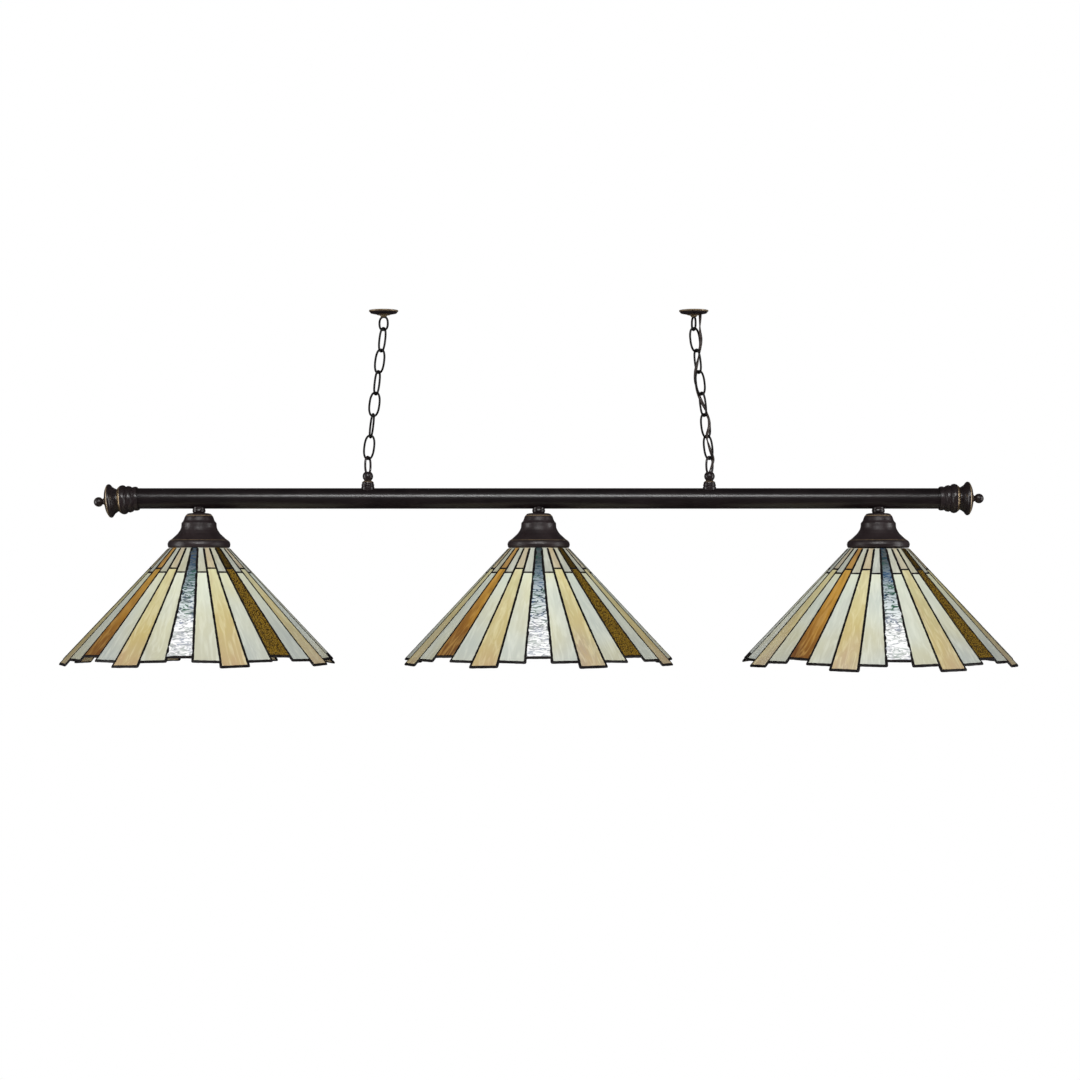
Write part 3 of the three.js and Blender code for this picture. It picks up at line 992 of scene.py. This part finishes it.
def thread(radius, depth, low, high):
    """Rounded thread crests and valleys along an outline, from low up to high."""
    count = round((high - low) / THREAD_PITCH) * THREAD_STEPS
    made = []
    for i in range(count + 1):
        z = low + (high - low) * i / count
        swing = math.sin(2 * math.pi * (z - low) / THREAD_PITCH)
        made.append((radius + depth / 2 * swing, z, THREAD_FILLET))
    return made


SCREW_SHELL = [
    (0, -88.3),
    (14.3, -88.3, 0.8),
    *thread(14.1, 0.5, -112, -91)[::-1],
    (14.4, -115, 0.2),
    (13.7, -115, 0.2),
    *thread(13.5, 0.5, -112, -91),
    (13.5, -89.6, 0.6),
    (0, -89.5),
]
BULB_BASE = [
    (0, -90.2),
    (4.6, -90.3, 0.5),
    (5.2, -91.2, 0.4),
    (9.4, -92.6, 0.8),
    (12.4, -94.4, 0.8),
    *thread(12.7, 0.5, -112, -95)[::-1],
    (12.9, -116, 0.3),
    (12.2, -118.4, 0.4),
    (0, -118.4),
]
BULB_GLASS = [
    (0, -118.2),
    (12.6, -118.2, 0.4),
    (13.2, -120, 1),
    (15.4, -128, 14),
    (22, -141.4, 22),
    *arc(0, -163.6, 30.2, 36, -86, 26),
    (0, -193.8),
]


def light_fittings():
    for place in PLACES:
        at = Vector((middle("bell_" + place).x, 0, BAR_Z))
        neck = seated_on_tube(turned(NECK), -1).moved(at)
        piece("neck_turned_" + place, neck, "bronze", "bar", ["neck_" + place])
        bell = turned(BELL, segments=96).moved(at)
        piece("bell_spun_" + place, bell, "bronze_bell_painted_sheen", "bar", ["bell_" + place])
        cap = turned(SHADE_CAP, segments=80).moved(at)
        piece("shade_cap_spun_" + place, cap, "bronze", "shade_" + place, ["shade_cap_" + place])
        socket = turned(SOCKET, closed=False).moved(at)
        piece("socket_body_" + place, socket, "phenolic", "bar", ["socket_" + place])
        shell = turned(SCREW_SHELL, closed=False).moved(at)
        piece("screw_shell_threaded_" + place, shell, "screw_brass", "bar", ["screw_shell_" + place])
        base = turned(BULB_BASE, closed=False).moved(at)
        piece("bulb_base_" + place, base, "screw_brass", "bulb_" + place, ["bulb_" + place])
        globe = turned(BULB_GLASS, closed=False, segments=80).moved(at)
        piece("bulb_glass_" + place, globe, "bulb_white", "bulb_" + place, ["bulb_" + place])


# ---------------------------------------------------------------- shades

PANELS = 32
HALF_PANEL = math.pi / PANELS  # half the angle of one panel
TOP_Z, TOP_RADIUS = -74.6 * MM, 45.7 * MM
SPREAD = 0.938  # how far a shade's corners run outwards for each unit down
GLASS = 3 * MM
PANEL_ORDER = ("accent", "white", "amber", "white")
BOTTOMS = {"accent": -234.7 * MM, "white": -241.1 * MM, "amber": -248.2 * MM}
SPLITS = {"accent": -105.5 * MM, "white": -111.3 * MM, "amber": -105.5 * MM}
ACCENTS = ("clear", "olive", "white", "brown")  # round the shade from the front, four panels apart
SLOPE = SPREAD * math.cos(HALF_PANEL)
SLANT = math.hypot(1, SLOPE)  # length down a panel for each unit of height

# Half the width of a seam and of one that splits a panel, and half a seam's thickness
SOLDER_ACROSS, SPLIT_ACROSS = 2.35 * MM, 2.4 * MM
SOLDER_THROUGH = GLASS / 2 + 0.15 * MM
LUMPS = 0.08  # how much a seam's width varies, as a share
SEAM_STEP = 4 * MM
SEAM_END = [(0.9, 0.35), (0.6, 0.75)]  # past a seam's end, in half widths, and how large it is there
SEAM_START = 2.2 * MM  # down a panel, under the shade's cap

PANE_MARGIN = 0.5 * MM  # between a pane's side and its panel's edge
FRONT_SUNK, BACK_SUNK = 0.35 * MM, 0.3 * MM  # how far a pane's faces lie inside the 3 mm of its panel
RIM_TILT = 0.9  # in millimetres, how much a pane's lower corners may be off

# Each glass: size of the mesh's cells, height of its ripples, and their length across and down a pane
RIPPLES = {
    "white": (7 * MM, 0.06 * MM, 40 * MM, 60 * MM),
    "amber": (7 * MM, 0.08 * MM, 30 * MM, 60 * MM),
    "brown": (6 * MM, 0.1 * MM, 20 * MM, 40 * MM),
    "olive": (1.2 * MM, 0.05 * MM, 1.6 * MM, 2 * MM),
    "clear": (0.9 * MM, 0.8 * MM, 20 * MM, 7 * MM),
}


def panel_kind(number):
    return PANEL_ORDER[number % len(PANEL_ORDER)]


def panel_glass(number):
    kind = panel_kind(number)
    return ACCENTS[number // len(PANEL_ORDER) % len(ACCENTS)] if kind == "accent" else kind


class Panel:
    """One flat panel of a shade: a point on it from how far across and down it lies, and how far out."""

    def __init__(self, number):
        angle = 2 * math.pi * number / PANELS - math.pi / 2
        radial = Vector((math.cos(angle), math.sin(angle), 0))
        self.across = Vector((-math.sin(angle), math.cos(angle), 0))
        self.down = (radial * SLOPE - UP) / SLANT
        self.out = (radial + UP * SLOPE) / SLANT
        self.top = radial * TOP_RADIUS * math.cos(HALF_PANEL) + UP * TOP_Z
        self.bottom = BOTTOMS[panel_kind(number)]

    def half_width(self, down):
        return (TOP_RADIUS + SPREAD * down / SLANT) * math.sin(HALF_PANEL)

    def point(self, across, down, out):
        return self.top + self.across * across + self.down * down + self.out * out


def depth_of(z):
    """How far down a panel a height lies."""
    return (TOP_Z - z) * SLANT


def ripple_at(glass, across, down, seed):
    """How high a glass's ripples stand at a point of a pane: a swell with finer waves on it."""
    _, height, wave_across, wave_down = RIPPLES[glass]
    x, y = across / wave_across, down / wave_down
    swell = noise.noise(Vector((x, y, seed)))
    finer = noise.noise(Vector((x * 2.3, y * 1.9, seed + 9)))
    return height * (swell + 0.4 * finer)


def plate_faces(columns, rows):
    """Faces of a closed plate whose front and back are alike grids of vertices, with the front's first."""
    width = columns + 1
    count = width * (rows + 1)
    faces = []
    for i in range(rows):
        for j in range(columns):
            a, b = i * width + j, i * width + j + 1
            c, d = b + width, a + width
            faces.append((a, d, c, b))
            faces.append((a + count, b + count, c + count, d + count))
    for i in range(rows):
        left, right = i * width, i * width + columns
        faces.append((left, left + count, left + width + count, left + width))
        faces.append((right + width, right + width + count, right + count, right))
    for j in range(columns):
        low = rows * width + j
        faces.append((j + 1, j + 1 + count, j + count, j))
        faces.append((low, low + count, low + 1 + count, low + 1))
    return faces


def add_pane(shell, panel, glass, start, end, seed, upper, tilt):
    """A plate of one glass between two depths down its panel, rippled on its front. tilt lowers its bottom
    corner on one side and raises the other."""
    cell = RIPPLES[glass][0]
    columns = max(2, round(2 * panel.half_width(end) / cell))
    rows = max(2, round((end - start) / cell))
    whole = depth_of(panel.bottom)
    verts, values, along = [], [], []
    for front in (True, False):
        for i in range(rows + 1):
            for j in range(columns + 1):
                share = 2 * j / columns - 1
                down = start + (end + tilt * share - start) * i / rows
                across = share * (panel.half_width(down) - PANE_MARGIN)
                out = ripple_at(glass, across, down, seed) - FRONT_SUNK if front else BACK_SUNK - GLASS
                verts.append(panel.point(across, down, out))
                values.append((across, down, seed))
                along.append(down / whole)
    faces = plate_faces(columns, rows)
    shell.add(verts, faces, pane=values, along=along, upper=[float(upper)] * len(verts))


def add_bead(shell, start, end, out, dice, across=SOLDER_ACROSS):
    """A rounded solder seam between two points, a little uneven, with closed round ends."""
    length = (end - start).length
    steps = max(4, round(length / SEAM_STEP))
    path, sections = [], []
    for reach, size in SEAM_END:
        path.append(start - (end - start) / length * across * reach)
        sections.append(ellipse(SOLDER_THROUGH * size, across * size))
    for i in range(steps + 1):
        size = 1 + dice.uniform(-LUMPS, LUMPS)
        path.append(start.lerp(end, i / steps))
        sections.append(ellipse(SOLDER_THROUGH * (1 + (size - 1) / 2), across * size))
    for reach, size in SEAM_END[::-1]:
        path.append(end + (end - start) / length * across * reach)
        sections.append(ellipse(SOLDER_THROUGH * size, across * size))
    shell.add(*tube_along(path, sections, [out] * len(path)))


def add_side_seam(shell, number, tilts, dice):
    """The seam between a panel and the one before it, down the edge of whichever reaches lower there."""
    panel, neighbour = Panel(number), Panel(number - 1)
    lower = depth_of(panel.bottom) - tilts[number]
    neighbour_lower = depth_of(neighbour.bottom) + tilts[number - 1]
    owner, side = panel, -1
    if neighbour_lower > lower:
        owner, side, lower = neighbour, 1, neighbour_lower
    ends = []
    for down in (SEAM_START, lower - SOLDER_ACROSS):
        ends.append(owner.point(side * owner.half_width(down), down, -GLASS / 2))
    add_bead(shell, *ends, (panel.out + neighbour.out).normalized(), dice)


# How far each shade's front tips down, and how far the shade is turned about its stem, in degrees
HANG = {"left": (-0.4, 0), "middle": (-0.2, 0), "right": (1.3, 1)}


def hang_of(place):
    """Where a shade's own frame, with its origin on the tube's axis, lies once it hangs a little askew."""
    at = Vector((middle("shade_glass_" + place).x, 0, BAR_Z))
    tip, turn = (math.radians(angle) for angle in HANG[place])
    pivot = Matrix.Translation(UP * TOP_Z)
    askew = Matrix.Rotation(tip, 4, "X") @ Matrix.Rotation(turn, 4, "Z")
    return Matrix.Translation(at) @ pivot @ askew @ pivot.inverted()


def shade(place, dice):
    """One shade: a piece for each of its glasses, and one for its solder."""
    panes = {}
    solder = Shell()
    middle_out = -GLASS / 2
    tilts = [dice.uniform(-RIM_TILT, RIM_TILT) * MM for _ in range(PANELS)]
    for number in range(PANELS):
        panel = Panel(number)
        kind, glass = panel_kind(number), panel_glass(number)
        shell = panes.setdefault(glass, Shell())
        split, bottom = depth_of(SPLITS[kind]), depth_of(panel.bottom)
        seed = dice.uniform(0, 90)
        pane_end = bottom - 0.9 * SOLDER_ACROSS  # inside the rim's solder
        tilt = tilts[number]
        if glass == "clear":
            add_pane(shell, panel, glass, 0, pane_end, seed, False, tilt)
        else:
            add_pane(shell, panel, glass, 0, split, seed, True, 0)
            add_pane(shell, panel, glass, split, pane_end, seed + 5, False, tilt)
            ends = [panel.point(side * panel.half_width(split), split, middle_out) for side in (-1, 1)]
            add_bead(solder, *ends, panel.out, dice, SPLIT_ACROSS)
        ends = []
        for side in (-1, 1):
            down = bottom - SOLDER_ACROSS + tilt * side
            ends.append(panel.point(side * (panel.half_width(down) - PANE_MARGIN), down, middle_out))
        add_bead(solder, *ends, panel.out, dice)
        add_side_seam(solder, number, tilts, dice)
    body, node, hang = "shade_" + place, "shade_glass_" + place, hang_of(place)
    for glass, shell in panes.items():
        piece(f"panes_{glass}_{place}", shell.moved(hang), "glass_" + glass, body, [node])
    piece("solder_" + place, solder.moved(hang), "solder", body, [node])


# ---------------------------------------------------------------- CAD pieces that stay as they are


def dress(node, look):
    kept = frame["nodes"][node]
    kept.data.materials.clear()
    kept.data.materials.append(MATERIALS[look])


def dress_cad_nodes():
    for place in PLACES:
        for kind in ("stem_nut_", "stem_", "cap_nut_"):
            dress(kind + place, "raw_steel")
    for side in SIDES:
        dress("loop_nut_" + side, "raw_steel")
    dress("bar_wiring", "cord_brown")


# ---------------------------------------------------------------- the whole lamp

make_camera()
supply_cord()
make_stage()
make_light()
bar_tube()
end_caps()
hang_loops()
chain_links()
ceiling_fittings()
light_fittings()
for index, place in enumerate(PLACES):
    shade(place, random.Random(40 + index))
dress_cad_nodes()
share_out_light()
